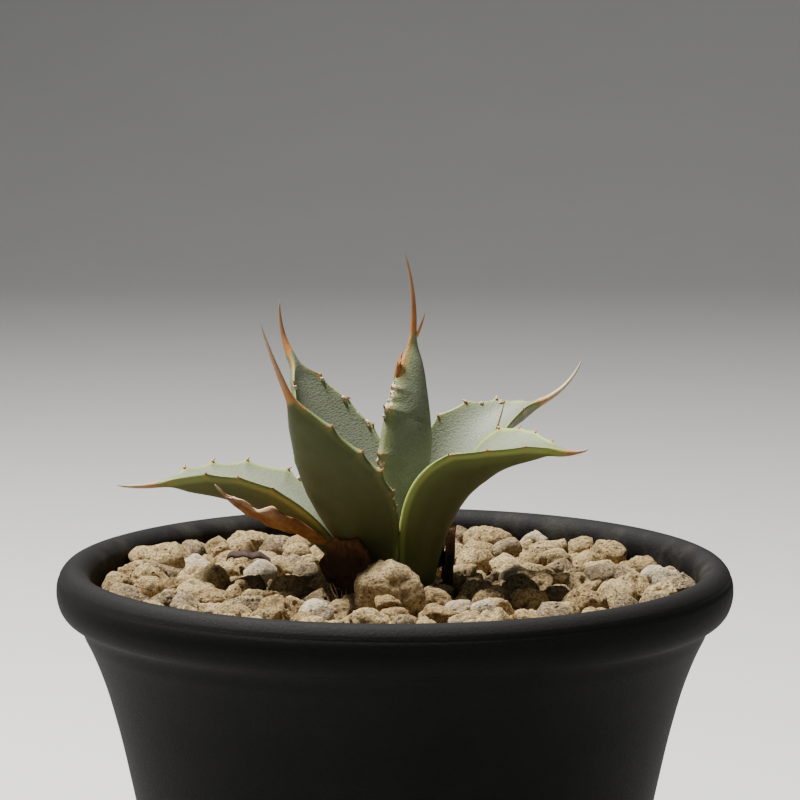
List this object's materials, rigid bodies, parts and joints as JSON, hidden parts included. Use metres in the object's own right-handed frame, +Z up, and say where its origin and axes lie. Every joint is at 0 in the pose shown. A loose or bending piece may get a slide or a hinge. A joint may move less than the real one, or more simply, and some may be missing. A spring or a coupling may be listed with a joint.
{
  "type": "potted agave",
  "caption": "Small spiny agave with a few stiff toothed leaves, growing in a round black flared pot dressed with pumice stones.",
  "frame": {"origin": "centre of the pot's foot, on the surface that it stands on", "axes": "+Z up, -Y towards the side that the plant is seen from"},
  "size_m": [0.09, 0.09, 0.1234],
  "materials": {
    "pot_black": "matte, finely grained moulding",
    "leaf_green": "waxy, satin",
    "dead_leaf": "dry, papery, matte",
    "root_tan": "fibrous, matte",
    "mix_brown": "loose, granular, matte",
    "pumice_tan": "rough, pitted, matte",
    "pumice_white": "rough, pitted, matte",
    "pumice_grey": "rough, pitted, matte"
  },
  "bodies": {
    "root": {"pot": "pot_black", "rootstock": "root_tan", "potting_mix": "mix_brown", "grit_bed": "pumice_tan", "leaf_left_low": "leaf_green", "leaf_left_front": "leaf_green", "leaf_left_back": "leaf_green", "leaf_centre": "leaf_green", "leaf_right_back": "leaf_green", "leaf_right_front": "leaf_green", "dried_leaf": "dead_leaf", "dried_sheath_front": "dead_leaf", "dried_sheath_right": "dead_leaf", "pumice_01": "pumice_tan", "pumice_02": "pumice_tan", "pumice_03": "pumice_tan", "pumice_04": "pumice_tan", "pumice_05": "pumice_tan", "pumice_06": "pumice_white", "pumice_07": "pumice_tan", "pumice_08": "pumice_grey", "pumice_09": "pumice_tan", "pumice_10": "pumice_grey", "pumice_11": "pumice_tan", "pumice_12": "pumice_tan", "pumice_13": "pumice_white", "pumice_14": "pumice_grey", "pumice_15": "pumice_grey", "pumice_16": "pumice_white", "pumice_17": "pumice_tan", "pumice_18": "pumice_tan", "pumice_19": "pumice_tan", "pumice_20": "pumice_tan", "pumice_21": "pumice_tan", "pumice_22": "pumice_tan", "pumice_23": "pumice_tan", "pumice_24": "pumice_tan", "pumice_25": "pumice_tan", "pumice_26": "pumice_tan", "pumice_27": "pumice_grey", "pumice_28": "pumice_tan", "pumice_29": "pumice_white", "pumice_30": "pumice_grey", "pumice_31": "pumice_tan", "pumice_32": "pumice_tan", "pumice_33": "pumice_grey", "pumice_34": "pumice_tan", "pumice_35": "pumice_tan", "pumice_36": "pumice_tan", "pumice_37": "pumice_tan", "pumice_38": "pumice_grey", "pumice_39": "pumice_white", "pumice_40": "pumice_grey", "pumice_41": "pumice_white", "pumice_42": "pumice_grey", "pumice_43": "pumice_tan"}
  },
  "joints": []
}
